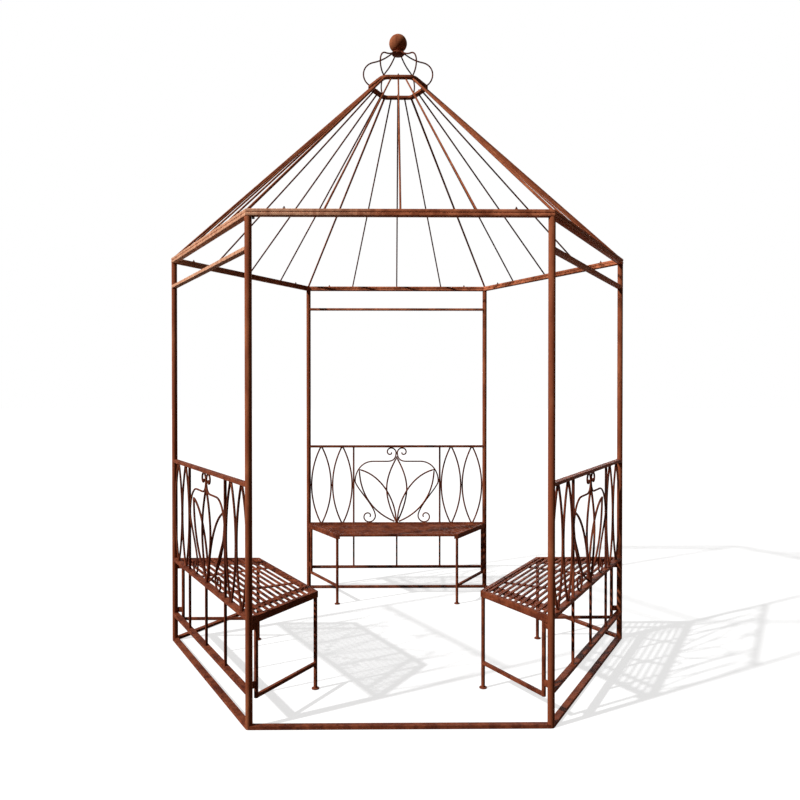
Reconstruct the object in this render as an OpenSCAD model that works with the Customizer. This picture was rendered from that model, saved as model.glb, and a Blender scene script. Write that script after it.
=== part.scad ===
// Hexagonal garden gazebo of welded steel tube: six posts, three bays closed by a
// scrollwork back panel with a slatted bench, three open bays, and an open rod roof
// that rises to a crown ring with a wire finial and a ball.
// Origin at ground level in the middle of the plan. +X points at the right post and
// -Y at the open front bay.

/* [Plan and heights] */
// Distance between the centres of neighbouring posts
side = 1250; // [1100:10:1600]
// Height of the top of the eave above the ground
eave_height = 2140; // [1950:10:2600]
// Height of the top of the crown ring above the ground
crown_height = 3100; // [2800:10:3800]
// Distance from the middle to a corner of the crown ring, as if it weren't bent
crown_radius = 158; // [130:1:220]
// Radius of the bends of the crown ring, to the middle of the tube
crown_bend = 40; // [25:1:60]

/* [Posts and rails] */
// Diameter of the round corner posts
post_d = 30; // [25:1:40]
// Width of the rectangular tube, laid flat
tube_w = 30; // [24:1:36]
// Height of the rectangular tube, laid flat
tube_h = 15; // [12:1:20]
// Clearance left at every welded seat
seat_gap = 0.3; // [0.2:0.1:1]
// Drop from the top of the eave to the middle of the upper rail over a back panel
upper_rail_drop = 161; // [60:1:400]
// Height of the middle of the backrest's top rail
backrest_z = 1007; // [850:1:1150]
// Height of the top of the seat and of the rail behind it
seat_z = 460; // [400:1:500]
// Height of the middle of the lowest panel rail
lower_rail_z = 150; // [100:1:200]

/* [Back panels] */
// Width of the square upright bars
bar_w = 12; // [8:1:16]
// Distance of the two side bars from the middle of the bay
bar_offset = 306; // [260:1:360]
// Diameter of the rods of the lotus petals and of the lenses
rod_d = 9; // [6:1:12]
// Diameter of the two scroll bars round the lotus
scroll_d = 8; // [5:1:10]

/* [Benches] */
// Distance from the middle of the gazebo to the front edge of a seat
seat_front = 670; // [580:1:740]
// Width of the tube round the front and sides of a seat
seat_tube_w = 22; // [16:1:30]
// Width of the bar along the rear of a seat
seat_bar_w = 6; // [4:1:12]
// Least pitch of the seat slats, which are spread evenly
slat_pitch = 33; // [24:1:45]
// Width of a slat
slat_w = 16; // [10:1:22]
// Thickness of slats and of the straps under them
slat_t = 5; // [3:1:7]
// Slit between the front tube and the first slat
front_slit = 5; // [2:1:15]
// Step from the top of the tube frame down to the lattice
lattice_drop = 2; // [0:0.5:4]
// Width of the two straight straps
strap_w = 25; // [16:1:40]
// Distance of the straight straps from the middle of the bench
strap_offset = 180; // [100:1:220]
// Width of the straps beside the ends
end_strap_w = 32; // [20:1:50]
// Distance of those straps from the side planes of the bench
end_strap_inset = 100; // [70:1:130]
// Diameter of the bench legs
leg_d = 16; // [12:1:22]
// Diameter of the disc foot under a front leg
foot_d = 36; // [28:1:50]
// Thickness of the disc foot
foot_h = 6; // [4:1:10]
// Width of the square stretchers between the legs
stretcher_w = 15; // [10:1:20]
// Height of the middle of the stretchers
stretcher_z = 120; // [80:1:200]
// Distance of the rear leg from the post, centre to centre
rear_leg_gap = 45; // [36:1:60]
// Height of the lugs that tie a rear leg to the post
lug_h = 28; // [20:1:36]
// Thickness of those lugs
lug_t = 8; // [5:1:12]

/* [Roof and finial] */
// Diameter of the three roof rods in each side
roof_rod_d = 9; // [6:1:12]
// Diameter of the six hip rods
hip_d = 12; // [8:1:14]
// Diameter of the wires of the finial
wire_d = 8; // [5:1:10]
// Diameter of the ball
ball_d = 100; // [80:1:140]
// Height of the middle of the ball over the crown ring
ball_rise = 238; // [200:1:300]
// Diameter of the rim of the hub that carries the ball
hub_d = 68; // [50:1:90]
// Height of the hub
hub_h = 14; // [9:1:30]
// Height of the wires' ends over the underside of the hub
wire_rise = 4.5; // [3:0.5:10]
// Bevel round both edges of the hub
hub_ease = 2; // [0.5:0.5:4]
// Diameter of the flat on which the ball is welded
ball_seat_d = 16; // [12:1:44]

/* [Hidden] */

$fn = 48;
rod_sides = 8;
lit_rust = "#8a4a34";
mid_rust = "#6b3627";
dark_rust = "#4a261c";
// Turn of a roof rod about its own length, which keeps its seam off the level cuts
seam_turn = 45;

// Directions in which the bays face
back_bay = 90;
left_bay = 210;
right_bay = 330;
bench_bays = [back_bay, left_bay, right_bay];
open_bays = [30, 150, 270];

apothem = side * cos(30);
post_top = eave_height - 2 * tube_h;
sill_z = eave_height - tube_h;
crown_under = crown_height - tube_h;
crown_apothem = crown_radius * cos(30);
mid_rail_top = seat_z + tube_h / 3;
backrest_under = backrest_z - tube_h / 2;
seat_under = seat_z - tube_h;
side_tube_under = seat_under - tube_h;
seat_rear = apothem - tube_w / 2 - seat_gap;
front_leg_r = (seat_front + seat_tube_w / 2) / cos(30);
rear_leg_r = side - rear_leg_gap;
hub_top = crown_height + ball_rise - sqrt(pow(ball_d / 2, 2) - pow(ball_seat_d / 2, 2));
far = 4 * side;

// The lotus's left half. Widths are shares of its half width, heights and the radii
// of the curls are shares of its height.
rod_reach = rod_d / 2 * cos(180 / rod_sides);
scroll_reach = scroll_d / 2 * cos(180 / rod_sides);
lotus_half = bar_offset - bar_w / 2 - scroll_reach - seat_gap;
lotus_low = mid_rail_top + scroll_reach + seat_gap;
lotus_tall = backrest_under - scroll_reach - seat_gap - lotus_low;
lap = 2 * rod_reach + seat_gap;
root_in = -lap / 2 / lotus_half;
petal_curves = [
    [[root_in, 0.01], [-0.097, 0.09], [-0.242, 0.29], [-0.242, 0.45]],
    [[-0.242, 0.45], [-0.242, 0.598], [-0.121, 0.755], [0, 0.87]]
];
side_petal_curves = [
    [[3 * root_in, 0.01], [-0.5, 0.11], [-0.88, 0.335], [-0.898, 0.71]],
    [[-0.898, 0.71], [-0.374, 0.643], [root_in, 0.297], [root_in, 0.01]]
];
top_curl = [0.075, 0.01];
top_curl_turn = 360;
foot_curl = [0.094, 0.02];
foot_curl_turn = -390;
scroll_meet = -(scroll_reach + seat_gap / 2) / lotus_half;
scroll_start = [scroll_meet, 1 - mix(top_curl, 90 / top_curl_turn)];
scroll_end = [-0.514, mix(foot_curl, -90 / foot_curl_turn)];
scroll_curves = [
    [scroll_start, [scroll_meet, 0.858], [-0.085, 0.82], [-0.228, 0.82]],
    [[-0.228, 0.82], [-0.3, 0.82], [-0.5, 0.82], [-0.571, 0.82]],
    [[-0.571, 0.82], [-0.832, 0.82], [-1, 0.691], [-1, 0.554]],
    [[-1, 0.554], [-1, 0.47], [-0.514, 0.212], scroll_end]
];

// A wire of the finial. Widths are shares of the crown's radius, heights are shares
// of the rise from the crown to the hub.
wire_bulge = [[1.329, 0.201], [1.304, 0.659], [0.867, 0.74]];
wire_sweep = [[0.582, 0.793], [0.418, 0.885]];

// Turns a bay drawn with +Y outward to the direction it faces
module in_bay(direction)
    rotate([0, 0, direction - 90])
        children();

// The six corner posts stand on the ground and carry the eave
module post(direction)
    color(mid_rust)
        rotate([0, 0, direction])
            translate([side, 0, 0])
                cylinder(d = post_d, h = post_top);

// A flat-laid tube along one side of a hexagon, mitred on its inner face
module flat_tube(middle, under, outer_reach) {
    inner = middle - tube_w / 2;
    outer = middle + tube_w / 2;
    translate([0, 0, under])
        linear_extrude(tube_h)
            polygon([
                [-inner * tan(30), inner], [inner * tan(30), inner],
                [outer_reach, outer], [-outer_reach, outer]
            ]);
}

// A tube from post to post, its ends coped round them
module panel_rail(under)
    difference() {
        flat_tube(apothem, under, side / 2);
        for (end = [-1, 1])
            translate([end * side / 2, apothem, under - 1])
                cylinder(d = post_d + 2 * seat_gap, h = tube_h + 2);
    }

// A round rod between two points, running past both
module rod_through(from, to, d)
    let (way = to - from, length = norm(way), spare = 4 * d)
        translate(from)
            rotate([0, acos(way[2] / length), atan2(way[1], way[0])])
                rotate([0, 0, seam_turn])
                    translate([0, 0, -spare])
                        cylinder(d = d, h = length + 2 * spare);

// Keeps what lies between two heights
module between(under, top)
    intersection() {
        children();
        translate([-far / 2, -far / 2, under])
            cube([far, far, top - under]);
    }

// Three rods on the quarter points of a side, cut level on the sill and the crown
module roof_rods(direction)
    color(lit_rust)
        in_bay(direction)
            between(eave_height, crown_under)
                for (share = [-0.25, 0, 0.25])
                    rod_through([share * side, apothem, eave_height],
                                [share * crown_radius, crown_apothem, crown_under],
                                roof_rod_d);

// One rod up each corner of the roof
module hip_rods()
    color(lit_rust)
        between(eave_height, crown_under)
            for (corner = [0:60:300])
                rotate([0, 0, corner])
                    rod_through([side, 0, eave_height],
                                [crown_radius, 0, crown_under], hip_d);

// Outline of the crown ring, a distance outside the middle of its tube
function ring_outline(out) = [
    for (corner = [0:60:300])
        for (turn = [-30:7.5:30])
            (crown_radius - crown_bend / cos(30)) * [cos(corner), sin(corner)]
            + (crown_bend + out) * [cos(corner + turn), sin(corner + turn)]
];

// A small hexagon of the same tube with bent corners, which gathers the rods
module crown_ring()
    color(mid_rust)
        translate([0, 0, crown_under])
            linear_extrude(tube_h)
                difference() {
                    polygon(ring_outline(tube_w / 2));
                    polygon(ring_outline(-tube_w / 2));
                }

// A value between a pair's first and second
function mix(pair, share) = pair[0] + (pair[1] - pair[0]) * share;

// A point of a cubic curve
function on_curve(c, t) =
    pow(1 - t, 3) * c[0] + 3 * t * pow(1 - t, 2) * c[1]
    + 3 * t * t * (1 - t) * c[2] + pow(t, 3) * c[3];

// The points of several cubic curves in a row, each starting where the last ended
function along(curves, steps) = [
    curves[0][0],
    for (c = curves)
        for (i = [1:steps])
            on_curve(c, i / steps)
];

// Curves given in shares, brought to full size
function sized(curves, wide, tall) = [
    for (c = curves)
        [for (p = c) [p[0] * wide, p[1] * tall]]
];

// Points of a curl that winds in from where a bar reaches it
function curl(start, radii, turn, steps) = [
    for (i = [1:steps])
        let (r = mix(radii, i / steps), a = turn * i / steps)
            [start[0] - radii[0] + r * cos(a), start[1] + r * sin(a)]
];

// The same points in the other order
function backwards(path) = [for (i = [len(path) - 1:-1:0]) path[i]];

// A path, or its mirror image
function handed(path, hand) = [for (p = path) [hand * p[0], p[1]]];

// Unit direction in which a path leaves one of its points
function leaving(path, i) =
    let (n = min(i, len(path) - 2), way = path[n + 1] - path[n])
        way / norm(way);

// Direction of a path at one of its points, longer where a mitre needs more width
function heading(path, i) =
    let (a = leaving(path, max(i - 1, 0)), b = leaving(path, i))
        (a + b) / (1 + a * b);

// A round rod along a flat path in the XZ plane, mitred at every bend
module bent_rod(path, d) {
    last = len(path) - 1;
    points = [
        for (i = [0:last])
            let (h = heading(path, i))
                for (k = [0:rod_sides - 1])
                    let (turn = (k + 0.5) * 360 / rod_sides,
                         out = d / 2 * cos(turn))
                        [path[i][0] - h[1] * out, d / 2 * sin(turn),
                         path[i][1] + h[0] * out]
    ];
    walls = [
        for (i = [0:last - 1])
            for (k = [0:rod_sides - 1])
                let (a = i * rod_sides + k, b = i * rod_sides + (k + 1) % rod_sides)
                    each [[a, a + rod_sides, b], [b, a + rod_sides, b + rod_sides]]
    ];
    start = [for (k = [0:rod_sides - 1]) k];
    end = [for (k = [rod_sides - 1:-1:0]) last * rod_sides + k];
    polyhedron(points = points, faces = concat([start], walls, [end]));
}

// Six wires bulge from the corners of the crown ring and sweep in to the hub
module finial_wires() {
    stub = wire_d / 2;
    hub_r = hub_d / 2 + seat_gap;
    hub_z = hub_top - hub_h + wire_rise - crown_height;
    bulge = sized([wire_bulge], crown_radius, hub_z)[0];
    sweep = sized([wire_sweep], crown_radius, hub_z)[0];
    curves = [concat([[crown_radius, stub]], bulge),
              concat([bulge[2]], sweep, [[hub_r + stub, hub_z]])];
    path = concat([[crown_radius, seat_gap]], along(curves, 12), [[hub_r, hub_z]]);
    color(dark_rust)
        for (corner = [0:60:300])
            rotate([0, 0, corner])
                translate([0, 0, crown_height])
                    bent_rod(path, wire_d);
}

// A thick disc with eased edges, which gathers the wires and carries the ball
module finial_hub()
    color(dark_rust)
        translate([0, 0, hub_top - hub_h])
            rotate_extrude()
                polygon([
                    [0, 0], [hub_d / 2 - hub_ease, 0], [hub_d / 2, hub_ease],
                    [hub_d / 2, hub_h - hub_ease], [hub_d / 2 - hub_ease, hub_h], [0, hub_h]
                ]);

// The ball, flattened where it is welded on the hub
module finial_ball()
    color(lit_rust)
        between(hub_top, hub_top + ball_d)
            translate([0, 0, crown_height + ball_rise])
                sphere(d = ball_d);

// Rails on the ground between the posts
module base_rails(directions)
    color(lit_rust)
        for (direction = directions)
            in_bay(direction)
                panel_rail(0);

// Every other side of the eave: wall rails below, roof sills above
module eave_sides(directions, under)
    color(mid_rust)
        for (direction = directions)
            in_bay(direction)
                flat_tube(apothem, under, (apothem + tube_w / 2) * tan(30));

module upper_rails()
    color(mid_rust)
        for (direction = bench_bays)
            in_bay(direction)
                panel_rail(eave_height - upper_rail_drop - tube_h / 2);

// Top, seat-level and lower rail of a back panel
module panel_rails(direction)
    color(lit_rust)
        in_bay(direction) {
            panel_rail(backrest_under);
            panel_rail(mid_rail_top - tube_h);
            panel_rail(lower_rail_z - tube_h / 2);
        }

// A square bar that stands between two rails
module upright(x, under, top)
    translate([x - bar_w / 2, apothem - bar_w / 2, under])
        cube([bar_w, bar_w, top - under]);

// Two bars from rail to rail over the seat, and three below it
module panel_bars(direction)
    color(dark_rust)
        in_bay(direction) {
            for (x = [-bar_offset, bar_offset])
                upright(x, mid_rail_top, backrest_under);
            for (x = [-bar_offset, 0, bar_offset])
                upright(x, lower_rail_z + tube_h / 2, mid_rail_top - tube_h);
        }

// One bowed side of a lens, round the middle of its slot
module lens_side(slot, hand) {
    height = backrest_under - mid_rail_top;
    at_tip = (rod_d + seat_gap) / 2;
    at_belly = (slot - rod_d - seat_gap) / 2;
    bow = at_belly - at_tip;
    radius = (pow(height / 2, 2) + bow * bow) / (2 * bow);
    half_turn = asin(height / 2 / radius) + 2;
    translate([hand * (at_belly - radius), 0, (backrest_under + mid_rail_top) / 2])
        rotate([90, 0, 0])
            rotate([0, 0, (hand > 0 ? 0 : 180) - half_turn])
                rotate_extrude(angle = 2 * half_turn, $fn = 96)
                    translate([radius, 0])
                        circle(d = rod_d);
}

// Two pointed lenses fill the backrest between each post and its side bar
module lenses(direction) {
    inner = bar_offset + bar_w / 2;
    outer = side / 2 - post_d / 2;
    slot = (outer - inner) / 2;
    color(mid_rust)
        in_bay(direction)
            between(mid_rail_top, backrest_under)
                for (hand = [-1, 1])
                    for (n = [0.5, 1.5])
                        translate([hand * (inner + n * slot), apothem, 0])
                            for (bow = [-1, 1])
                                lens_side(slot, bow);
}

// A path followed by its own mirror image, back to where it began
function there_and_back(path) = concat(
    path,
    [for (i = [len(path) - 2:-1:0]) [-path[i][0], path[i][1]]]
);

// The open lotus in the middle of the backrest: a petal between two scroll bars, and
// two side petals lapped over them on the inner face
module lotus(direction) {
    petal = sized(petal_curves, lotus_half, lotus_tall);
    side_petal = sized(side_petal_curves, lotus_half, lotus_tall);
    scroll = sized(scroll_curves, lotus_half, lotus_tall);
    top_path = curl(scroll[0][0], top_curl * lotus_tall, top_curl_turn, 12);
    foot_path = curl(scroll[3][3], foot_curl * lotus_tall, foot_curl_turn, 13);
    foot = [petal[0][0][0], mid_rail_top + seat_gap - lotus_low];
    color(mid_rust)
        in_bay(direction)
            translate([0, apothem, lotus_low]) {
                bent_rod(there_and_back(concat([foot], along(petal, 6))), rod_d);
                for (hand = [1, -1]) {
                    translate([0, -lap, 0])
                        bent_rod(handed(concat(along(side_petal, 10), [foot]), hand),
                                 rod_d);
                    bent_rod(handed(concat(backwards(top_path), along(scroll, 8),
                                           foot_path), hand), scroll_d);
                }
            }
}

// Outline of a seat, drawn in by a margin at the front, one at the rear and one at
// the sides
function seat_outline(near, far_side, cheeks) =
    let (front = seat_front + near, rear = seat_rear - far_side,
         half = (seat_tube_w / 2 - cheeks) / cos(30))
        [
            [-front * tan(30) - half, front], [front * tan(30) + half, front],
            [rear * tan(30) + half, rear], [-rear * tan(30) - half, rear]
        ];

// Clears the two posts beside a bench
module clear_of_posts()
    difference() {
        children();
        for (end = [-1, 1])
            translate([end * side / 2, apothem, 0])
                cylinder(d = post_d + seat_gap, h = post_top);
    }

// Slats along the bench, evenly spread from the front tube to the rear bar
module slats() {
    near = seat_front + seat_tube_w + front_slit;
    depth = seat_rear - seat_bar_w - near;
    count = floor(depth / slat_pitch);
    for (n = [0:count - 1])
        translate([-side, near + n * depth / count])
            square([2 * side, slat_w]);
}

// Two straight straps, and two that run beside the seat's ends
module straps()
    for (hand = [-1, 1]) {
        translate([hand * strap_offset - strap_w / 2, 0])
            square([strap_w, side]);
        rotate([0, 0, -30 * hand])
            translate([-hand * end_strap_inset - end_strap_w / 2, 0])
                square([end_strap_w, 2 * side]);
    }

// A layer of flat bars that run to the middle of the seat's frame
module lattice_layer(under)
    translate([0, 0, under])
        linear_extrude(slat_t)
            intersection() {
                polygon(seat_outline(seat_tube_w / 2, seat_bar_w / 2, seat_tube_w / 2));
                children();
            }

// Tube frame and flat-bar lattice, slats over straps, welded into one plate
module seat(direction)
    color(dark_rust)
        in_bay(direction)
            clear_of_posts() {
                translate([0, 0, seat_under])
                    linear_extrude(tube_h)
                        difference() {
                            polygon(seat_outline(0, 0, 0));
                            polygon(seat_outline(seat_tube_w, seat_bar_w, seat_tube_w));
                        }
                lattice_layer(seat_z - lattice_drop - slat_t)
                    slats();
                lattice_layer(seat_z - lattice_drop - 2 * slat_t)
                    straps();
            }

// The two side planes of a bench, each through a post and the middle of the gazebo
module at_sides(direction)
    for (turn = [-30, 30])
        rotate([0, 0, direction + turn])
            children();

// Tubes under the sides of the seat, and stretchers between the legs
module bench_rails(direction) {
    color(mid_rust)
        in_bay(direction)
            clear_of_posts()
                translate([0, 0, side_tube_under])
                    linear_extrude(tube_h)
                        intersection() {
                            polygon(seat_outline(0, 0, 0));
                            for (turn = [-30, 30])
                                rotate([0, 0, turn])
                                    translate([-seat_tube_w / 2, 0])
                                        square([seat_tube_w, 2 * side]);
                        }
    color(mid_rust)
        at_sides(direction)
            difference() {
                translate([front_leg_r, -stretcher_w / 2, stretcher_z - stretcher_w / 2])
                    cube([rear_leg_r - front_leg_r, stretcher_w, stretcher_w]);
                for (leg = [front_leg_r, rear_leg_r])
                    translate([leg, 0, 0])
                        cylinder(d = leg_d + 2 * seat_gap, h = seat_z);
            }
}

// Front legs on disc feet, and rear legs tied to the posts by two lugs each
module bench_legs(direction)
    color(mid_rust)
        at_sides(direction) {
            translate([front_leg_r, 0, 0]) {
                cylinder(d = leg_d, h = side_tube_under);
                cylinder(d = foot_d, h = foot_h);
            }
            translate([rear_leg_r, 0, stretcher_z - stretcher_w / 2])
                cylinder(d = leg_d, h = side_tube_under - stretcher_z + stretcher_w / 2);
            for (z = [lower_rail_z + tube_h / 2 + seat_gap, side_tube_under - lug_h])
                translate([rear_leg_r, -lug_t / 2, z])
                    cube([rear_leg_gap - post_d / 2 - seat_gap, lug_t, lug_h]);
        }

post(0);  // post_right
post(60);  // post_back_right
post(120);  // post_back_left
post(180);  // post_left
post(240);  // post_front_left
post(300);  // post_front_right
base_rails(open_bays);  // base_rails_open_bays
base_rails(bench_bays);  // base_rails_bench_bays
eave_sides(open_bays, post_top);  // eave_rails_open_bays
eave_sides(bench_bays, post_top);  // eave_rails_bench_bays
eave_sides(open_bays, sill_z);  // roof_sills_open_bays
eave_sides(bench_bays, sill_z);  // roof_sills_bench_bays
roof_rods(90);  // roof_rods_back
roof_rods(150);  // roof_rods_back_left
roof_rods(210);  // roof_rods_front_left
roof_rods(270);  // roof_rods_front
roof_rods(330);  // roof_rods_front_right
roof_rods(30);  // roof_rods_back_right
hip_rods();
crown_ring();
finial_wires();
finial_hub();
finial_ball();
upper_rails();
panel_rails(back_bay);  // panel_rails_back
panel_rails(left_bay);  // panel_rails_left
panel_rails(right_bay);  // panel_rails_right
panel_bars(back_bay);  // panel_bars_back
panel_bars(left_bay);  // panel_bars_left
panel_bars(right_bay);  // panel_bars_right
lotus(back_bay);  // lotus_back
lotus(left_bay);  // lotus_left
lotus(right_bay);  // lotus_right
lenses(back_bay);  // lenses_back
lenses(left_bay);  // lenses_left
lenses(right_bay);  // lenses_right
seat(back_bay);  // seat_back
seat(left_bay);  // seat_left
seat(right_bay);  // seat_right
bench_rails(back_bay);  // bench_rails_back
bench_rails(left_bay);  // bench_rails_left
bench_rails(right_bay);  // bench_rails_right
bench_legs(back_bay);  // bench_legs_back
bench_legs(left_bay);  // bench_legs_left
bench_legs(right_bay);  // bench_legs_right
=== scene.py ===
"""Garden gazebo of rusted steel tube and rod, with three benches and a rod roof."""

import math
import random

import bmesh
import bpy
from mathutils import Matrix, Vector


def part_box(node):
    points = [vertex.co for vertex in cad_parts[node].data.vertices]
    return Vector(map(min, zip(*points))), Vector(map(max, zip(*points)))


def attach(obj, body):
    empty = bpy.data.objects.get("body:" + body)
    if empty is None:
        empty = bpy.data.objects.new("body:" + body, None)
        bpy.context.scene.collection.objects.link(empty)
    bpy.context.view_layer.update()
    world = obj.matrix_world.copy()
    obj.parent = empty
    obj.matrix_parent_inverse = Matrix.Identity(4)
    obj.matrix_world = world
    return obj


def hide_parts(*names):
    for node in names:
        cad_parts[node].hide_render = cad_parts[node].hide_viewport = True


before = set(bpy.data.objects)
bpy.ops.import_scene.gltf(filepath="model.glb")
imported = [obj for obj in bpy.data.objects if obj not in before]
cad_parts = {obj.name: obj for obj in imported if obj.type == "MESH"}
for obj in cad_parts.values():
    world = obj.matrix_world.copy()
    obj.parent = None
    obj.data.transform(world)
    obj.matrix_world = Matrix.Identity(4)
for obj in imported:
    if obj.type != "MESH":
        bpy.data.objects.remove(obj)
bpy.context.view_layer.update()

bl_info = {
    "name": "Garden Gazebo",
    "version": (1, 0, 0),
    "blender": (4, 5, 0),
    "location": "View3D > Sidebar > Gazebo",
    "description": "Rebuilds the gazebo's tubes, rods and benches in rusted steel",
    "category": "Add Mesh",
}

# Facing directions of the bays in degrees, with the bench bays first
BENCH_BAYS = {"back": 90, "left": 210, "right": 330}
OPEN_BAYS = {"front": 270, "back_left": 150, "back_right": 30}
ALL_BAYS = (*BENCH_BAYS.values(), *OPEN_BAYS.values())
POSTS = {"right": 0, "back_right": 60, "back_left": 120, "left": 180, "front_left": 240,
         "front_right": 300}
COS30 = math.cos(math.radians(30))
# Plan direction away from the side that the key light falls on, where a pale colour is
# painted as highlight
AWAY_FROM_KEY_LIGHT = (COS30, 0.5)

# Clearance between a rod and what it is welded to, in metres
SEAT_GAP = 0.0003
# A packed rod has eight sides, and its flats lie this share of its radius out
FACET = math.cos(math.radians(22.5))
# First and last radius of the scroll bars' curls, in shares of the opening's height, and
# the degrees that they turn
TOP_CURL, FOOT_CURL = (0.075, 0.01, 360), (0.094, 0.02, -390)
# Heights of the middle petal's tip, and of where a scroll bar touches its side bar
PETAL_TIP, BAR_TOUCH = 0.87, 0.56
# Straight pieces of a lens's bowed rod
LENS_STEPS = 32
# Places of the three roof rods of a bay, in shares of its side
ROD_SHARES = (-0.25, 0, 0.25)
# Rounding of cut ends, lugs, feet, the hub and nuts, in metres
CUT_EASE, LUG_EASE, FOOT_EASE, HUB_EASE, NUT_EASE = 0.0008, 0.001, 0.0015, 0.002, 0.0005
# How far the eave's tab stands off the post, and goes into the tube, in metres
TAB_SINK = 0.001
# Least and most width and height of a weld bead, in shares of its full size
BEAD_WIDTH, BEAD_HEIGHT = (0.88, 1.1), (0.55, 0.75)
# Two faces that meet at more than this many degrees have an edge to round
EDGE_ANGLE = 50
# Shortest edge of a seat's outer tube, and of a seat's slot, in metres
RIM_LENGTH, SLOT_LENGTH = 0.4, 0.1
# Faces that meet at less than this many degrees are shaded as one
SMOOTH_ANGLE = 38

# Noise of the rust, in cells to a metre, and its stretch along the posts and in runs
PATCH_CELLS, MOTTLE_CELLS, RUN_CELLS, PIT_CELLS = 12, 45, 30, 700
UPRIGHT, RUNNING = (1, 1, 0.22), (1, 1, 0.1)
# What each noise gives to the choice between brown and orange
PATCH_SHARE, MOTTLE_SHARE, SPECK_SHARE = 0.45, 0.35, 0.2
# Where brown turns to orange, and how far a redder finish moves both ends up
ORANGE_FROM, ORANGE_TO, RED_SHIFT = 0.34, 0.58, 0.16
# Ends and strength of the dark runs and of the dark specks
RUN_EDGES, RUN_DARK = (0.52, 0.68), 0.4
SPECK_EDGES, SPECK_DARK = (0.54, 0.7), 0.5
# How far round the key light's side the painted highlight goes, and how it breaks up
HIGHLIGHT_SIDE, HIGHLIGHT_LEAST, HIGHLIGHT_EDGES = (0.35, 0.95), 0.25, (0.2, 1.0)
ROUGH_LEAST, ROUGH_SPAN = 0.62, 0.25
# Rust hardly mirrors what is round it
MIRROR_LEVEL = 0.05
GRAIN_DEPTH, GRAIN_STRENGTH = 0.0005, 0.5

# Name, strength, spread, height and azimuth of each lamp, the angles in degrees
LAMPS = (("key_light", 3.6, 1.6, 37, 209), ("fill_light", 1.3, 25, 6, 78))
# Warm light from all round that fills the shadows on the steel
SKY_COLOUR, SKY_STRENGTH = (1, 0.88, 0.78, 1), 0.06
WHITE = (1, 1, 1, 1)
FLOOR_GLOW = 0.72
# Camera: its place in metres, its turns from level and from +Y in radians, its lens in mm
CAMERA_PLACE, CAMERA_TILT, CAMERA_TURN = (-0.0364, -4.067, 1.3848), -0.0094, -0.0116
SENSOR_WIDTH, FOCAL_LENGTH, FARTHEST = 36, 32.59845, 500

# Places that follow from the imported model
post_low, post_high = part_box("post_right")
POST_RADIUS = (post_high.y - post_low.y) / 2
SIDE = (post_high.x + post_low.x) / 2
APOTHEM = SIDE * COS30
POST_TOP = post_high.z
SILL_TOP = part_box("roof_sills_open_bays")[1].z
crown_low, crown_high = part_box("crown_ring")
CROWN_UNDER, CROWN_TOP = crown_low.z, crown_high.z
TUBE_W = -2 * (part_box("base_rails_open_bays")[0].y + APOTHEM)
CROWN_APOTHEM = crown_high.y - TUBE_W / 2
CROWN_RADIUS = CROWN_APOTHEM / COS30


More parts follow.
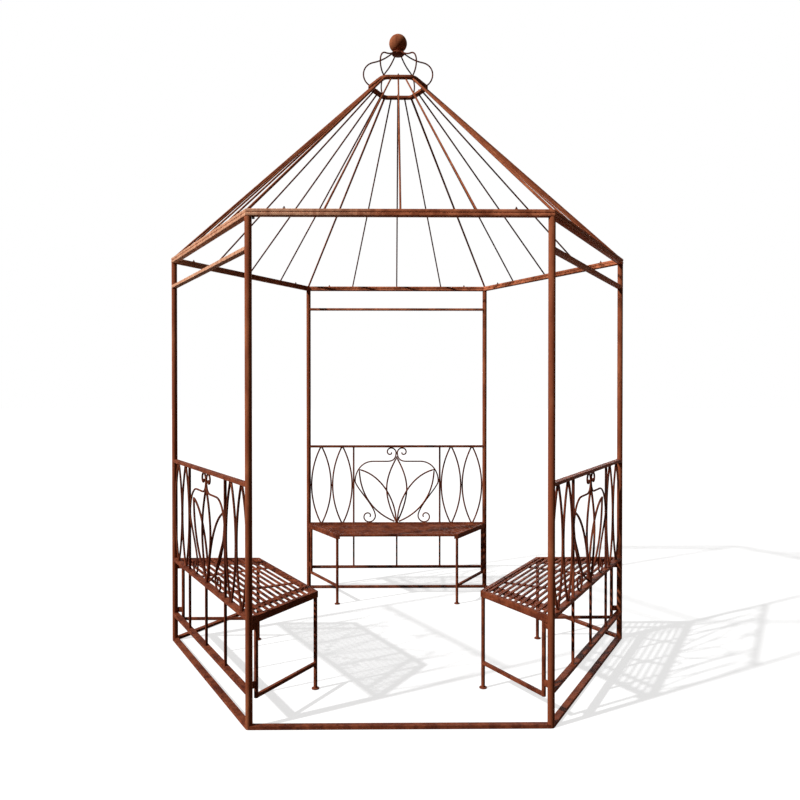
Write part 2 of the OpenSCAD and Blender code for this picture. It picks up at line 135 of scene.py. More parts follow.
class GazeboSizes(bpy.types.PropertyGroup):
    """Sizes of the parts that only the finished model shows."""

    tube_corner: bpy.props.FloatProperty(
        name="Tube corner", description="Rounding of a tube's long edges",
        default=0.0025, unit="LENGTH")
    seam_corner: bpy.props.FloatProperty(
        name="Seam corner", description="Rounding of tubes that lie on each other",
        default=0.004, unit="LENGTH")
    bar_corner: bpy.props.FloatProperty(
        name="Bar corner", description="Rounding of a square bar's edges",
        default=0.001, unit="LENGTH")
    roof_rod: bpy.props.FloatProperty(
        name="Roof rod", description="Diameter of a roof rod", default=0.009,
        unit="LENGTH")
    hip_rod: bpy.props.FloatProperty(
        name="Hip rod", description="Diameter of a hip rod", default=0.012,
        unit="LENGTH")
    wire: bpy.props.FloatProperty(
        name="Finial wire", description="Diameter of a finial wire", default=0.008,
        unit="LENGTH")
    wire_rise: bpy.props.FloatProperty(
        name="Wire rise", description="Height of the wires' ends over the hub's underside",
        default=0.0045, unit="LENGTH")
    petal_rod: bpy.props.FloatProperty(
        name="Petal rod", description="Diameter of the petals and lenses", default=0.011,
        unit="LENGTH")
    scroll_rod: bpy.props.FloatProperty(
        name="Scroll rod", description="Diameter of the scroll bars", default=0.0095,
        unit="LENGTH")
    bar: bpy.props.FloatProperty(
        name="Upright bar", description="Width of an upright bar", default=0.012,
        unit="LENGTH")
    bar_offset: bpy.props.FloatProperty(
        name="Bar offset", description="Distance of a side bar from its bay's middle",
        default=0.306, unit="LENGTH")
    seat_tube: bpy.props.FloatProperty(
        name="Seat tube", description="Width of the tube round a seat",
        default=0.022, unit="LENGTH")
    leg: bpy.props.FloatProperty(
        name="Bench leg", description="Diameter of a bench leg", default=0.018,
        unit="LENGTH")
    foot: bpy.props.FloatProperty(
        name="Foot", description="Diameter of a front leg's foot", default=0.036,
        unit="LENGTH")
    foot_height: bpy.props.FloatProperty(
        name="Foot height", description="Thickness of a foot", default=0.006,
        unit="LENGTH")
    rear_leg_gap: bpy.props.FloatProperty(
        name="Rear leg gap", description="Distance of a rear leg from its post's middle",
        default=0.045, unit="LENGTH")
    rear_leg_end: bpy.props.FloatProperty(
        name="Rear leg end", description="Height of a rear leg's lower end",
        default=0.1125, unit="LENGTH")
    low_lug: bpy.props.FloatProperty(
        name="Low lug", description="Height of the underside of a lower lug",
        default=0.1578, unit="LENGTH")
    lug_height: bpy.props.FloatProperty(
        name="Lug height", description="Height of a lug behind a rear leg",
        default=0.028, unit="LENGTH")
    lug: bpy.props.FloatProperty(
        name="Lug", description="Thickness of a lug", default=0.008, unit="LENGTH")
    nut: bpy.props.FloatProperty(
        name="Nut", description="Width of a nut across its flats", default=0.011,
        unit="LENGTH")
    nut_height: bpy.props.FloatProperty(
        name="Nut height", description="Thickness of a nut", default=0.0055,
        unit="LENGTH")
    bolt: bpy.props.FloatProperty(
        name="Bolt", description="Diameter of a bolt's threaded end", default=0.006,
        unit="LENGTH")
    bolt_height: bpy.props.FloatProperty(
        name="Bolt height", description="Height of a bolt's end over the tube",
        default=0.012, unit="LENGTH")
    bolt_offset: bpy.props.FloatProperty(
        name="Bolt offset", description="Distance of an eave bolt from a side's middle",
        default=0.4775, unit="LENGTH")
    tab: bpy.props.FloatProperty(
        name="Tab", description="Width and drop of the tab under the front eave",
        default=0.011, unit="LENGTH")
    tab_sheet: bpy.props.FloatProperty(
        name="Tab sheet", description="Thickness of the tab", default=0.004,
        unit="LENGTH")
    bead: bpy.props.FloatProperty(
        name="Weld bead", description="How far a weld bead stands out of its rod",
        default=0.002, unit="LENGTH")
    floor: bpy.props.FloatProperty(
        name="Floor", description="Width of the floor", default=120.0, unit="LENGTH")


class GazeboColours(bpy.types.PropertyGroup):
    """Colours of the rust and of the studio."""

    deep: bpy.props.FloatVectorProperty(
        name="Deep rust", description="Dark red rust in streaks and pits",
        default=(0.10, 0.021, 0.010, 1), size=4, subtype="COLOR")
    brown: bpy.props.FloatVectorProperty(
        name="Brown rust", description="The usual red-brown rust of a post",
        default=(0.29, 0.075, 0.032, 1), size=4, subtype="COLOR")
    orange: bpy.props.FloatVectorProperty(
        name="Orange rust", description="Lighter rust in the patches of a post or rod",
        default=(0.50, 0.170, 0.074, 1), size=4, subtype="COLOR")
    dry: bpy.props.FloatVectorProperty(
        name="Dry rust", description="Dry orange rust of the eave",
        default=(0.72, 0.235, 0.110, 1), size=4, subtype="COLOR")
    # Painted highlight: this pale colour goes on the eave's side that faces the key light,
    # and stands in for that light
    pale: bpy.props.FloatVectorProperty(
        name="Pale rust", description="Powdery bloom on the weather side",
        default=(0.86, 0.47, 0.29, 1), size=4, subtype="COLOR")
    iron: bpy.props.FloatVectorProperty(
        name="Iron", description="Dark oxide of thin rods and wires",
        default=(0.045, 0.017, 0.011, 1), size=4, subtype="COLOR")
    floor: bpy.props.FloatVectorProperty(
        name="Floor", description="Pale studio floor", default=(0.5, 0.5, 0.5, 1),
        size=4, subtype="COLOR")
    bounce: bpy.props.FloatVectorProperty(
        name="Bounce", description="What the floor gives back to the steel",
        default=(0.055, 0.038, 0.026, 1), size=4, subtype="COLOR")


def sizes():
    """The sizes that the sidebar shows."""
    return bpy.context.scene.gazebo_sizes


def colours():
    """The colours that the sidebar shows."""
    return bpy.context.scene.gazebo_colours


class Link:
    """An output of a material's node that takes part in Python arithmetic."""

    def __init__(self, finish, socket):
        self.finish = finish
        self.socket = socket

    def maths(self, operation, *values):
        return self.finish.node("ShaderNodeMath", values, operation=operation)

    def __add__(self, other):
        return self.maths("ADD", self, other)

    def __sub__(self, other):
        return self.maths("SUBTRACT", self, other)

    def __rsub__(self, other):
        return self.maths("SUBTRACT", other, self)

    def __mul__(self, other):
        return self.maths("MULTIPLY", self, other)

    __radd__ = __add__
    __rmul__ = __mul__

    def smooth(self, low, high):
        """Nought below low, one above high, and smooth between them."""
        return self.finish.node(
            "ShaderNodeMapRange", {"Value": self, "From Min": low, "From Max": high},
            interpolation_type="SMOOTHSTEP")


class Finish:
    """A procedural material whose nodes come from one method."""

    def __init__(self, name):
        self.material = bpy.data.materials.new(name)
        self.material.use_nodes = True
        self.nodes = self.material.node_tree.nodes
        self.links = self.material.node_tree.links
        self.shader = self.nodes["Principled BSDF"]
        self.place = self.node("ShaderNodeTexCoord", {}, output="Object")

    def connect(self, socket, value):
        """Links a socket to an output, or sets its value."""
        if isinstance(value, Link):
            self.links.new(value.socket, socket)
        else:
            socket.default_value = value

    def node(self, kind, values, output=0, **settings):
        """Adds a node, with its settings first and then its sockets' values or links."""
        made = self.nodes.new(kind)
        for key, setting in settings.items():
            setattr(made, key, setting)
        pairs = values.items() if isinstance(values, dict) else enumerate(values)
        for key, value in pairs:
            self.connect(made.inputs[key], value)
        return Link(self, made.outputs[output])

    def noise(self, cells, detail=4.0, roughness=0.55, stretch=(1, 1, 1)):
        """Noise of a number of cells to a metre, stretched along the axes."""
        place = self.node("ShaderNodeMapping", {"Vector": self.place, "Scale": stretch})
        return self.node("ShaderNodeTexNoise",
                         {"Vector": place, "Scale": cells, "Detail": detail,
                          "Roughness": roughness})

    def blend(self, share, first, second):
        """A colour between two others."""
        made = self.nodes.new("ShaderNodeMix")
        made.data_type = "RGBA"
        for name, value in (("Factor_Float", share), ("A_Color", first),
                            ("B_Color", second)):
            socket = next(s for s in made.inputs if s.identifier == name)
            self.connect(socket, value)
        return Link(self, next(s for s in made.outputs
                               if s.identifier == "Result_Color"))

    def bump(self, height, depth, strength):
        """A normal from a height that runs from nought to one over a depth in metres."""
        return self.node("ShaderNodeBump",
                         {"Height": height, "Distance": depth, "Strength": strength})

    def surface(self, **values):
        """Sets or links sockets of the surface shader, and gives the material."""
        for key, value in values.items():
            self.connect(self.shader.inputs[key.replace("_", " ")], value)
        return self.material


def rust(name, deep, brown, orange, grain_size=0.006, grain=(1, 1, 1), pale=None,
         red=0.5, stain=1.0):
    """Rusted steel: soft patches of brown and orange, dark runs, and fine pits.

    A higher red leaves less orange, and a lower stain has fainter runs and specks.
    """
    finish = Finish(name)
    patches = finish.noise(PATCH_CELLS, detail=3, stretch=grain)
    mottle = finish.noise(MOTTLE_CELLS, roughness=0.6, stretch=grain)
    runs = finish.noise(RUN_CELLS, detail=3, stretch=RUNNING)
    specks = finish.noise(1 / grain_size, roughness=0.7)
    pits = finish.noise(PIT_CELLS, detail=2)
    shift = RED_SHIFT * red
    share = (patches * PATCH_SHARE + mottle * MOTTLE_SHARE + specks * SPECK_SHARE).smooth(
        ORANGE_FROM + shift, ORANGE_TO + shift)
    base = finish.blend(share, brown, orange)
    # A pale colour painted as highlight on the side that faces the key light
    if pale:
        base = finish.blend(painted_highlight_share(finish, mottle), base, pale)
    stained = finish.blend(runs.smooth(*RUN_EDGES) * (RUN_DARK * stain), base, deep)
    speckled = finish.blend(specks.smooth(*SPECK_EDGES) * (SPECK_DARK * stain), stained,
                            deep)
    height = specks * 0.5 + pits * 0.5
    return finish.surface(
        Base_Color=speckled,
        Roughness=ROUGH_LEAST + specks * ROUGH_SPAN,
        Metallic=0.0,
        Specular_IOR_Level=MIRROR_LEVEL,
        Normal=finish.bump(height, GRAIN_DEPTH, GRAIN_STRENGTH))


def painted_highlight_share(finish, mottle):
    """Share of a pale colour painted as highlight, which grows towards the side that faces
    the key light and breaks up with the mottle.
    """
    along, across = (finish.node("ShaderNodeSeparateXYZ", {"Vector": finish.place},
                                 output=axis) for axis in (0, 1))
    side = (0 - along * AWAY_FROM_KEY_LIGHT[0] - across * AWAY_FROM_KEY_LIGHT[1]).smooth(*HIGHLIGHT_SIDE)
    return (side * (HIGHLIGHT_LEAST + mottle)).smooth(*HIGHLIGHT_EDGES)


def make_finishes():
    """One material for each kind of steel in the gazebo."""
    tint = colours()
    deep, brown, orange, dry, pale, iron = (tuple(colour) for colour in (
        tint.deep, tint.brown, tint.orange, tint.dry, tint.pale, tint.iron))
    return {
        "post": rust("rusted_post", deep, brown, orange, grain=UPRIGHT, red=0.75),
        "tube": rust("rusted_tube", deep, deep, brown, red=0.25, stain=0.4),
        # The eave's pale colour is painted highlight on its side towards the key light
        "eave": rust("rusted_eave", brown, brown, dry, pale=pale, red=0.35),
        "rod": rust("rusted_rod", deep, brown, orange, red=0.6),
        # The far roof rods also take this darker finish, as painted shade
        "bar": rust("rusted_bar", iron, deep, brown, grain=UPRIGHT, red=0.55),
        "wire": rust("dark_wire", iron, deep, brown, red=0.75),
        "seat": rust("rusted_seat", deep, deep, brown, red=0.25, stain=0.6),
        "ball": rust("rusted_ball", deep, brown, orange, grain_size=0.009, red=0.4),
        "weld": rust("burnt_weld", iron, iron, deep),
    }


# The materials by the kind of steel, filled when the gazebo is made
finishes = {}


def turned(direction):
    """Turns a bay drawn with +Y outward to the direction it faces."""
    return Matrix.Rotation(math.radians(direction - 90), 4, "Z")


def post_turn(direction):
    """Turns what is drawn along +X to the post in a direction."""
    return Matrix.Rotation(math.radians(direction), 4, "Z")


def finish_piece(bm, name, material, *stands_for):
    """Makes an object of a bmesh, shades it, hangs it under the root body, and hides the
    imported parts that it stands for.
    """
    mesh = bpy.data.meshes.new(name)
    bm.to_mesh(mesh)
    bm.free()
    for face in mesh.polygons:
        face.use_smooth = True
    mesh.set_sharp_from_angle(angle=math.radians(SMOOTH_ANGLE))
    piece = bpy.data.objects.new(name, mesh)
    bpy.context.scene.collection.objects.link(piece)
    mesh.materials.append(finishes[material])
    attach(piece, "root")
    if stands_for:
        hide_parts(*stands_for)


def merged_copy(node):
    """A bmesh of a CAD node with its doubles merged and its flat faces whole."""
    bm = bmesh.new()
    bm.from_mesh(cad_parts[node].data)
    bmesh.ops.remove_doubles(bm, verts=bm.verts, dist=2e-5)
    bmesh.ops.dissolve_limit(bm, angle_limit=math.radians(1.5), verts=bm.verts,
                             edges=bm.edges)
    return bm


def round_edges(bm, edges, radius, segments=3):
    """Rounds edges over a radius."""
    bmesh.ops.bevel(bm, geom=edges, offset=radius, offset_type="OFFSET",
                    segments=segments, profile=0.5, affect="EDGES",
                    clamp_overlap=True, material=-1)


def sharp_edges(bm, shortest):
    """Edges over a length where two faces meet sharply."""
    limit = math.radians(EDGE_ANGLE)
    return [e for e in bm.edges if e.is_manifold and e.calc_length() > shortest
            and e.calc_face_angle() > limit]


def rounded_tubes(node, radius, shortest=0.02, material="tube"):
    """A CAD node's tubes with their long edges rounded."""
    bm = merged_copy(node)
    round_edges(bm, sharp_edges(bm, shortest), radius)
    finish_piece(bm, node + "_steel", material, node)


def add_rod(bm, path, diameter):
    """Adds a round rod of twelve sides with closed ends along a path of points."""
    curve = bpy.data.curves.new("rod", "CURVE")
    curve.dimensions = "3D"
    curve.bevel_depth = diameter / 2
    curve.bevel_resolution = 4
    curve.use_fill_caps = True
    spline = curve.splines.new("POLY")
    spline.points.add(len(path) - 1)
    for point, place in zip(spline.points, path):
        point.co = (*place, 1)
    holder = bpy.data.objects.new("rod", curve)
    bpy.context.scene.collection.objects.link(holder)
    mesh = bpy.data.meshes.new_from_object(holder)
    bpy.data.objects.remove(holder)
    bpy.data.curves.remove(curve)
    bm.from_mesh(mesh)
    bpy.data.meshes.remove(mesh)


def add_cylinder(bm, middle, low, high, diameter, sides=32, ease=0.0):
    """Adds an upright cylinder, its two rims bevelled by an ease."""
    part = bmesh.new()
    bmesh.ops.create_cone(part, cap_ends=True, segments=sides, radius1=diameter / 2,
                          radius2=diameter / 2, depth=high - low)
    if ease:
        round_edges(part, sharp_edges(part, 0), ease, 2)
    bmesh.ops.translate(part, verts=part.verts,
                        vec=(middle[0], middle[1], (low + high) / 2))
    join(bm, part)


def add_block(bm, low, high, place=Matrix(), ease=0.0):
    """Adds a box between two corners, its edges eased."""
    part = bmesh.new()
    bmesh.ops.create_cube(part, size=1)
    low, high = Vector(low), Vector(high)
    bmesh.ops.scale(part, verts=part.verts, vec=high - low)
    if ease:
        round_edges(part, list(part.edges), ease, 2)
    bmesh.ops.translate(part, verts=part.verts, vec=(low + high) / 2)
    bmesh.ops.transform(part, verts=part.verts, matrix=place)
    join(bm, part)


def add_bead(bm, centre, rod, chance):
    """Adds a lumpy weld bead round the end of a rod, never quite the same twice."""
    part = bmesh.new()
    bmesh.ops.create_icosphere(part, subdivisions=2, radius=rod / 2 + sizes().bead)
    bmesh.ops.scale(part, verts=part.verts, vec=[chance.uniform(*BEAD_WIDTH),
                                                 chance.uniform(*BEAD_WIDTH),
                                                 chance.uniform(*BEAD_HEIGHT)])
    bmesh.ops.rotate(part, verts=part.verts, cent=(0, 0, 0),
                     matrix=Matrix.Rotation(chance.uniform(0, 6.28), 3, "Z"))
    bmesh.ops.translate(part, verts=part.verts, vec=centre)
    join(bm, part)


def add_bolt(bm, place):
    """Adds a nut with the rounded end of its bolt, standing on a place."""
    part = bmesh.new()
    across = sizes().nut / 2 / COS30
    bmesh.ops.create_cone(part, cap_ends=True, segments=6, radius1=across,
                          radius2=across, depth=sizes().nut_height)
    round_edges(part, list(part.edges), NUT_EASE, 2)
    bmesh.ops.translate(part, verts=part.verts, vec=(0, 0, sizes().nut_height / 2))
    add_cylinder(part, (0, 0), 0, sizes().bolt_height, sizes().bolt, 16, LUG_EASE)
    bmesh.ops.transform(part, verts=part.verts, matrix=place)
    join(bm, part)


def join(bm, part):
    """Moves a part's mesh into another bmesh."""
    mesh = bpy.data.meshes.new("part")
    part.to_mesh(mesh)
    part.free()
    bm.from_mesh(mesh)
    bpy.data.meshes.remove(mesh)


def cubic(points, steps=14):
    """Points of a cubic curve after its first."""
    found = []
    for step in range(1, steps + 1):
        t = step / steps
        weights = ((1 - t) ** 3, 3 * t * (1 - t) ** 2, 3 * t * t * (1 - t), t ** 3)
        found.append(tuple(sum(w * p[axis] for w, p in zip(weights, points))
                           for axis in (0, 1)))
    return found


def curl(start, first, last, turn, steps=40):
    """Points of a curl that winds in from a start, its radius going from first to last.

    The turn is in degrees.
    """
    found = []
    for step in range(1, steps + 1):
        share = step / steps
        radius = first + (last - first) * share
        angle = math.radians(turn * share)
        found.append((start[0] - first + radius * math.cos(angle),
                      start[1] + radius * math.sin(angle)))
    return found


def quarter_turn(first, last, turn):
    """Radius of a curl after its first quarter turn."""
    return first + (last - first) * 90 / abs(turn)


def roof_rod_ends(direction):
    """The foot and the head of each of the three roof rods of a bay."""
    place = turned(direction)
    return [(place @ Vector((share * SIDE, APOTHEM, SILL_TOP)),
             place @ Vector((share * CROWN_RADIUS, CROWN_APOTHEM, CROWN_UNDER)))
            for share in ROD_SHARES]


def hip_rod_ends(direction):
    """The foot and the head of the hip rod over a post."""
    place = post_turn(direction)
    return (place @ Vector((SIDE, 0, SILL_TOP)),
            place @ Vector((CROWN_RADIUS, 0, CROWN_UNDER)))


def panel_heights(bay):
    """Top of the seat-level rail and underside of the top rail of a back panel."""
    low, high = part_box("lenses_" + bay)
    return low.z, high.z


def lens_slots():
    """Where the slots beside the upright bars begin, and the width of one."""
    inner = sizes().bar_offset + sizes().bar / 2
    return inner, (SIDE / 2 - POST_RADIUS - inner) / 2


def background_rays(nodes, links):
    """A socket that is one for what the camera sees, straight or by way of a surface."""
    ray = nodes.new("ShaderNodeLightPath")
    seen = ray.outputs["Is Camera Ray"]
    for other in ("Is Glossy Ray", "Is Transmission Ray"):
        either = nodes.new("ShaderNodeMath")
        either.operation = "MAXIMUM"
        links.new(seen, either.inputs[0])
        links.new(ray.outputs[other], either.inputs[1])
        seen = either.outputs[0]
    return seen


class GazeboStage(bpy.types.Operator):
    """Sets the pale floor, the soft light and the camera"""

    bl_idname = "gazebo.stage"
    bl_label = "Stage"

    def execute(self, context):
        scene = context.scene
        scene.view_settings.view_transform = "Standard"
        self.make_floor(scene)
        self.make_lamps(scene)
        self.make_world(scene)
        self.make_camera(scene)
        return {"FINISHED"}

    def make_floor(self, scene):
        """A floor that looks white, holds the shadow, and gives little back."""
        bm = bmesh.new()
        bmesh.ops.create_grid(bm, x_segments=4, y_segments=4, size=sizes().floor / 2)
        mesh = bpy.data.meshes.new("studio_floor")
        bm.to_mesh(mesh)
        bm.free()
        floor = bpy.data.objects.new("studio_floor", mesh)
        scene.collection.objects.link(floor)
        paint = Finish("studio_floor")
        paint.surface(Base_Color=tuple(colours().floor), Roughness=0.9,
                      Specular_IOR_Level=0.0)
        pale = Link(paint, paint.shader.outputs[0])
        glow = paint.node("ShaderNodeEmission", {"Color": WHITE, "Strength": FLOOR_GLOW})
        white = paint.node("ShaderNodeAddShader", (pale, glow))
        dim = paint.node("ShaderNodeBsdfDiffuse", {"Color": tuple(colours().bounce)})
        seen = Link(paint, background_rays(paint.nodes, paint.links))
        mixed = paint.node("ShaderNodeMixShader", (seen, dim, white))
        paint.connect(paint.nodes["Material Output"].inputs["Surface"], mixed)
        mesh.materials.append(paint.material)

    def make_lamps(self, scene):
        """A sun from the front left, and a weak broad one that lifts the back."""
        for name, strength, spread, height, azimuth in LAMPS:
            sun = bpy.data.lights.new(name, "SUN")
            sun.energy = strength
            sun.angle = math.radians(spread)
            lamp = bpy.data.objects.new(name, sun)
            scene.collection.objects.link(lamp)
            lamp.rotation_euler = (math.radians(90 - height), 0, math.radians(azimuth + 90))

    def make_world(self, scene):
        """A dim warm sky for the steel, which the camera and reflections see white."""
        world = bpy.data.worlds.new("studio")
        world.use_nodes = True
        scene.world = world
        nodes, links = world.node_tree.nodes, world.node_tree.links
        sky = nodes["Background"]
        sky.inputs["Color"].default_value = SKY_COLOUR
        sky.inputs["Strength"].default_value = SKY_STRENGTH
        bright = nodes.new("ShaderNodeBackground")
        bright.inputs["Color"].default_value = WHITE
        bright.inputs["Strength"].default_value = 1.0
        choice = nodes.new("ShaderNodeMixShader")
        links.new(background_rays(nodes, links), choice.inputs[0])
        links.new(sky.outputs[0], choice.inputs[1])
        links.new(bright.outputs[0], choice.inputs[2])
        links.new(choice.outputs[0], nodes["World Output"].inputs["Surface"])

    def make_camera(self, scene):
        """A camera at head height in front of the open bay."""
        lens = bpy.data.cameras.new("camera")
        lens.sensor_width = SENSOR_WIDTH
        lens.lens = FOCAL_LENGTH
        lens.clip_end = FARTHEST
        camera = bpy.data.objects.new("camera", lens)
        camera.location = CAMERA_PLACE
        camera.rotation_euler = (math.radians(90) + CAMERA_TILT, 0, CAMERA_TURN)
        scene.collection.objects.link(camera)
        scene.camera = camera


class GazeboPosts(bpy.types.Operator):
    """Makes the six round posts"""

    bl_idname = "gazebo.posts"
    bl_label = "Posts"

    def execute(self, context):
        for name, direction in POSTS.items():
            angle = math.radians(direction)
            bm = bmesh.new()
            add_cylinder(bm, (SIDE * math.cos(angle), SIDE * math.sin(angle)), 0,
                         POST_TOP, 2 * POST_RADIUS, sides=48, ease=CUT_EASE)
            finish_piece(bm, "post_%s_steel" % name, "post", "post_" + name)
        return {"FINISHED"}


class GazeboRails(bpy.types.Operator):
    """Makes the flat tubes: base rails, eave, roof sills, panel rails and bars"""

    bl_idname = "gazebo.rails"
    bl_label = "Rails"

    def execute(self, context):
        corner = sizes().tube_corner
        seam = sizes().seam_corner
        for bays in ("open_bays", "bench_bays"):
            rounded_tubes("base_rails_" + bays, corner)
            rounded_tubes("eave_rails_" + bays, seam, material="eave")
            rounded_tubes("roof_sills_" + bays, seam, material="eave")
        rounded_tubes("upper_rails", corner, material="eave")
        rounded_tubes("crown_ring", corner, shortest=0.002, material="rod")
        for bay in BENCH_BAYS:
            rounded_tubes("panel_rails_" + bay, corner)
            rounded_tubes("bench_rails_" + bay, seam, shortest=0.1)
            rounded_tubes("panel_bars_" + bay, sizes().bar_corner, shortest=0.05,
                          material="bar")
        return {"FINISHED"}


class GazeboRoof(bpy.types.Operator):
    """Makes the roof rods and the hip rods"""

    bl_idname = "gazebo.roof"
    bl_label = "Roof"

    def execute(self, context):
        for name, direction in {**BENCH_BAYS, **OPEN_BAYS}.items():
            node = {"left": "front_left", "right": "front_right"}.get(name, name)
            near_lit = node in ("front", "front_left", "front_right")
            bm = bmesh.new()
            for ends in roof_rod_ends(direction):
                add_rod(bm, ends, sizes().roof_rod)
            # Rods of the far bays take the darker bar finish as painted shade, for their
            # shaded undersides that face the camera
            finish_piece(bm, "roof_rods_%s_steel" % node, "rod" if near_lit else "bar",
                         "roof_rods_" + node)
        bm = bmesh.new()
        for direction in POSTS.values():
            add_rod(bm, hip_rod_ends(direction), sizes().hip_rod)
        finish_piece(bm, "hip_rods_steel", "rod", "hip_rods")
        return {"FINISHED"}


class GazeboFinial(bpy.types.Operator):
    """Makes the wires, the hub and the ball over the crown ring"""

    bl_idname = "gazebo.finial"
    bl_label = "Finial"

    def execute(self, context):
        hub_low, hub_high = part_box("finial_hub")
        hub_radius = hub_high.x
        radius = sizes().wire / 2
        wide, tall = CROWN_RADIUS, hub_low.z + sizes().wire_rise - CROWN_TOP
        bulge = [(wide, radius), (1.329 * wide, 0.201 * tall), (1.304 * wide, 0.659 * tall),
                 (0.867 * wide, 0.74 * tall)]
        sweep = [bulge[3], (0.582 * wide, 0.793 * tall), (0.418 * wide, 0.885 * tall),
                 (hub_radius + radius, tall)]
        path = [(wide, 0), bulge[0]] + cubic(bulge, 24) + cubic(sweep, 24)
        path.append((hub_radius - radius, tall))
        bm = bmesh.new()
        for direction in POSTS.values():
            add_rod(bm, [post_turn(direction) @ Vector((x, 0, CROWN_TOP + z))
                         for x, z in path], sizes().wire)
        finish_piece(bm, "finial_wires_steel", "wire", "finial_wires")

        bm = bmesh.new()
        add_cylinder(bm, (0, 0), hub_low.z, hub_high.z, 2 * hub_radius, 64, HUB_EASE)
        finish_piece(bm, "finial_hub_steel", "wire", "finial_hub")

        bm = bmesh.new()
        ball_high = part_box("finial_ball")[1]
        ball_radius = ball_high.x
        bmesh.ops.create_uvsphere(bm, u_segments=64, v_segments=48, radius=ball_radius)
        bmesh.ops.translate(bm, verts=bm.verts, vec=(0, 0, ball_high.z - ball_radius))
        finish_piece(bm, "finial_ball_steel", "ball", "finial_ball")
        return {"FINISHED"}


class GazeboPanels(bpy.types.Operator):
    """Makes the scrollwork of the three back panels"""

    bl_idname = "gazebo.panels"
    bl_label = "Back panels"

    def execute(self, context):
        for bay, direction in BENCH_BAYS.items():
            self.make_lotus(bay, direction)
            self.make_lenses(bay, direction)
        return {"FINISHED"}

    def make_lotus(self, bay, direction):
        """A petal between two scroll bars, and two side petals lapped over them.

        The curves are drawn for the left half, in shares of half the opening's width
        and of its height.
        """
        rod, scroll_rod = sizes().petal_rod, sizes().scroll_rod
        bottom, top = panel_heights(bay)
        reach = scroll_rod / 2 * FACET
        half = sizes().bar_offset - sizes().bar / 2 - reach - SEAT_GAP
        base = bottom + reach + SEAT_GAP
        tall = top - reach - SEAT_GAP - base
        lap = rod * FACET + SEAT_GAP
        root = -lap / 2 / half
        foot = (root, (bottom + SEAT_GAP - base) / tall)
        meet = -(reach + SEAT_GAP / 2) / half
        bm = bmesh.new()
        for path, hands, thick, forward in (
                (self.petal(root, foot), (1,), rod, 0),
                (self.side_petal(root, foot), (1, -1), rod, lap),
                (self.scroll(meet, half / tall), (1, -1), scroll_rod, 0)):
            for hand in hands:
                add_rod(bm, [turned(direction) @ Vector((hand * x * half,
                                                         APOTHEM - forward,
                                                         base + z * tall))
                             for x, z in path], thick)
        finish_piece(bm, "lotus_%s_steel" % bay, "bar", "lotus_" + bay)

    def petal(self, root, foot):
        """The middle petal, up its left side and down its right."""
        belly, tip = (-0.242, 0.45), (0, PETAL_TIP)
        path = [foot, (root, 0.01)]
        path += cubic([path[-1], (-0.097, 0.09), (-0.242, 0.29), belly])
        path += cubic([belly, (-0.242, 0.598), (-0.121, 0.755), tip])
        return path + [(-x, z) for x, z in reversed(path[:-1])]

    def side_petal(self, root, foot):
        """The left petal, out along its underside and back over the middle petal."""
        tip, heel = (-0.898, 0.71), (root, 0.01)
        path = [(3 * root, 0.01)]
        path += cubic([path[0], (-0.5, 0.11), (-0.88, 0.335), tip], 28)
        path += cubic([tip, (-0.374, 0.643), (root, 0.297), heel], 28)
        return path + [foot]

    def scroll(self, meet, stretch):
        """The left scroll bar, from its upper curl round the shoulder to its lower one."""
        start = (meet, 1 - quarter_turn(*TOP_CURL))
        end = (-0.514, quarter_turn(*FOOT_CURL))
        neck, shoulder, flank = (-0.228, 0.82), (-0.571, 0.82), (-1, 0.554)
        top_curl = curl((start[0] * stretch, start[1]), *TOP_CURL)
        foot_curl = curl((end[0] * stretch, end[1]), *FOOT_CURL)
        path = [(x / stretch, z) for x, z in reversed(top_curl)] + [start]
        path += cubic([start, (meet, 0.858), (-0.085, 0.82), neck])
        path += cubic([neck, (-0.3, 0.82), (-0.5, 0.82), shoulder], 6)
        path += cubic([shoulder, (-0.832, 0.82), (-1, 0.691), flank], 20)
        path += cubic([flank, (-1, 0.47), (-0.514, 0.212), end], 28)
        return path + [(x / stretch, z) for x, z in foot_curl]

    def make_lenses(self, bay, direction):
        """Two pointed lenses, each of two bowed rods, in the slots at either end."""
        bottom, top = panel_heights(bay)
        rod = sizes().petal_rod
        inner, slot = lens_slots()
        tip, belly = (rod + SEAT_GAP) / 2, (slot - rod - SEAT_GAP) / 2
        half = (top - bottom) / 2
        radius = (half * half + (belly - tip) ** 2) / (2 * (belly - tip))
        bend = math.asin(half / radius)
        arc = [bend * (2 * step / LENS_STEPS - 1) for step in range(LENS_STEPS + 1)]
        bm = bmesh.new()
        for hand in (-1, 1):
            for number in (0.5, 1.5):
                for bow in (-1, 1):
                    add_rod(bm, [turned(direction) @ Vector((
                        hand * (inner + number * slot)
                        + bow * (belly - radius + radius * math.cos(angle)),
                        APOTHEM, (bottom + top) / 2 + radius * math.sin(angle)))
                        for angle in arc], rod)
        finish_piece(bm, "lenses_%s_steel" % bay, "bar", "lenses_" + bay)


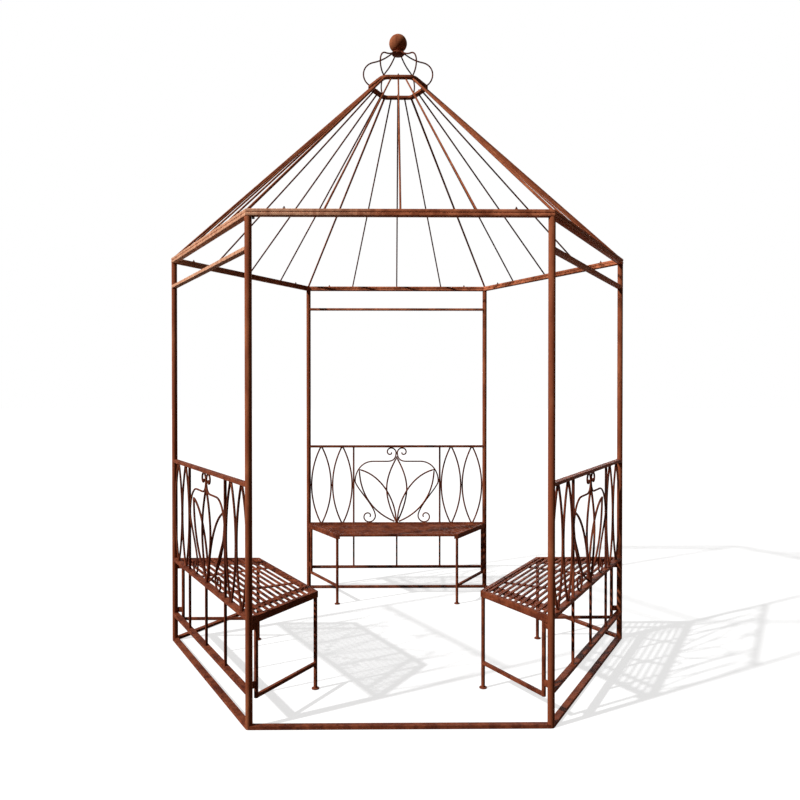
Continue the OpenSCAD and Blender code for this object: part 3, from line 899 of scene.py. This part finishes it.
class GazeboBenches(bpy.types.Operator):
    """Makes the slatted seats and their legs"""

    bl_idname = "gazebo.benches"
    bl_label = "Benches"

    def execute(self, context):
        for bay, direction in BENCH_BAYS.items():
            self.make_seat(bay)
            self.make_legs(bay, direction)
        return {"FINISHED"}

    def make_seat(self, bay):
        """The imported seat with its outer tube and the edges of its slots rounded."""
        bm = merged_copy("seat_" + bay)
        rims = sharp_edges(bm, RIM_LENGTH)
        slots = [edge for edge in sharp_edges(bm, SLOT_LENGTH) if edge not in rims]
        round_edges(bm, rims, sizes().seam_corner)
        round_edges(bm, [edge for edge in slots if edge.is_valid], sizes().bar_corner, 2)
        finish_piece(bm, "seat_%s_steel" % bay, "seat", "seat_" + bay)

    def make_legs(self, bay, direction):
        """Two front legs on their feet, and two rear legs with lugs to the posts."""
        front_leg = (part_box("seat_back")[0].y + sizes().seat_tube / 2) / COS30
        rear_leg = SIDE - sizes().rear_leg_gap
        low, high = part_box("bench_legs_" + bay)
        lug, lug_height = sizes().lug / 2, sizes().lug_height
        bm = bmesh.new()
        for turn in (-30, 30):
            spin = post_turn(direction + turn)
            out = spin @ Vector((1, 0, 0))
            add_cylinder(bm, out * front_leg, low.z, high.z, sizes().leg)
            add_cylinder(bm, out * front_leg, low.z, low.z + sizes().foot_height,
                         sizes().foot, 48, FOOT_EASE)
            add_cylinder(bm, out * rear_leg, sizes().rear_leg_end, high.z, sizes().leg,
                         ease=LUG_EASE)
            for height in (sizes().low_lug, high.z - lug_height):
                add_block(bm, (rear_leg, -lug, height),
                          (SIDE - POST_RADIUS, lug, height + lug_height), spin, LUG_EASE)
        finish_piece(bm, "bench_legs_%s_steel" % bay, "tube", "bench_legs_" + bay)


class GazeboFixings(bpy.types.Operator):
    """Adds the bolts on the eave and the ring, the tab, and the weld beads"""

    bl_idname = "gazebo.fixings"
    bl_label = "Bolts and welds"

    def execute(self, context):
        self.make_bolts()
        self.make_tab()
        self.make_welds()
        return {"FINISHED"}

    def make_bolts(self):
        """Two bolts on each side of the eave, and one on each side of the ring."""
        bm = bmesh.new()
        for direction in ALL_BAYS:
            for x, y, z in ((-sizes().bolt_offset, APOTHEM, SILL_TOP),
                            (sizes().bolt_offset, APOTHEM, SILL_TOP),
                            (0, CROWN_APOTHEM, CROWN_TOP)):
                add_bolt(bm, turned(direction) @ Matrix.Translation((x, y, z)))
        finish_piece(bm, "bolts_steel", "wire")

    def make_tab(self):
        """A small tab under the front eave, beside the front left post."""
        bm = bmesh.new()
        tab, sheet = sizes().tab, sizes().tab_sheet / 2
        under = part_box("eave_rails_open_bays")[0].z
        left = POST_RADIUS - SIDE / 2 + TAB_SINK
        add_block(bm, (left, -APOTHEM - sheet, under - tab),
                  (left + tab, -APOTHEM + sheet, under + TAB_SINK), ease=CUT_EASE)
        finish_piece(bm, "eave_tab_steel", "wire")

    def make_welds(self):
        """Beads at the ends of the roof rods, hip rods and wires, and on the panels."""
        chance = random.Random(7)
        bm = bmesh.new()
        for direction in ALL_BAYS:
            for ends in roof_rod_ends(direction):
                for end in ends:
                    add_bead(bm, end, sizes().roof_rod, chance)
        for direction in POSTS.values():
            for end in hip_rod_ends(direction):
                add_bead(bm, end, sizes().hip_rod, chance)
            add_bead(bm, post_turn(direction) @ Vector((CROWN_RADIUS, 0, CROWN_TOP)),
                     sizes().wire, chance)
        for bay, direction in BENCH_BAYS.items():
            for x, z in self.panel_spots(bay):
                add_bead(bm, turned(direction) @ Vector((x, APOTHEM, z)),
                         sizes().petal_rod, chance)
        finish_piece(bm, "weld_beads_steel", "weld")

    def panel_spots(self, bay):
        """Where the lotus and the lenses touch the rails, the bars and the posts."""
        inner, slot = lens_slots()
        bottom, top = panel_heights(bay)
        tall, middle = top - bottom, (bottom + top) / 2
        spots = [(0, bottom), (0, bottom + PETAL_TIP * tall)]
        for hand in (-1, 1):
            spots += [(hand * (inner + share * slot), z) for share in (0.5, 1.5)
                      for z in (bottom, top)]
            spots += [(hand * (inner + share * slot), middle) for share in (0, 1, 2)]
            spots.append((hand * (sizes().bar_offset - sizes().bar / 2),
                          bottom + BAR_TOUCH * tall))
        return spots


class GazeboPanel(bpy.types.Panel):
    """Lists the gazebo's pieces and its sizes and colours"""

    bl_idname = "VIEW3D_PT_gazebo"
    bl_label = "Garden Gazebo"
    bl_space_type = "VIEW_3D"
    bl_region_type = "UI"
    bl_category = "Gazebo"

    def draw(self, context):
        column = self.layout.column()
        for maker in MAKERS:
            column.operator(maker.bl_idname)
        for group in (context.scene.gazebo_sizes, context.scene.gazebo_colours):
            for name in group.bl_rna.properties.keys():
                if name not in ("rna_type", "name"):
                    column.prop(group, name)


MAKERS = (GazeboStage, GazeboPosts, GazeboRails, GazeboRoof, GazeboFinial, GazeboPanels,
          GazeboBenches, GazeboFixings)
CLASSES = (GazeboSizes, GazeboColours) + MAKERS + (GazeboPanel,)


def register():
    for cls in CLASSES:
        bpy.utils.register_class(cls)
    bpy.types.Scene.gazebo_sizes = bpy.props.PointerProperty(type=GazeboSizes)
    bpy.types.Scene.gazebo_colours = bpy.props.PointerProperty(type=GazeboColours)


def unregister():
    del bpy.types.Scene.gazebo_colours
    del bpy.types.Scene.gazebo_sizes
    for cls in reversed(CLASSES):
        bpy.utils.unregister_class(cls)


def main():
    """Makes the gazebo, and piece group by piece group."""
    register()
    finishes.update(make_finishes())
    bpy.ops.gazebo.stage()
    bpy.ops.gazebo.posts()
    bpy.ops.gazebo.rails()
    bpy.ops.gazebo.roof()
    bpy.ops.gazebo.finial()
    bpy.ops.gazebo.panels()
    bpy.ops.gazebo.benches()
    bpy.ops.gazebo.fixings()


if __name__ == "__main__":
    main()
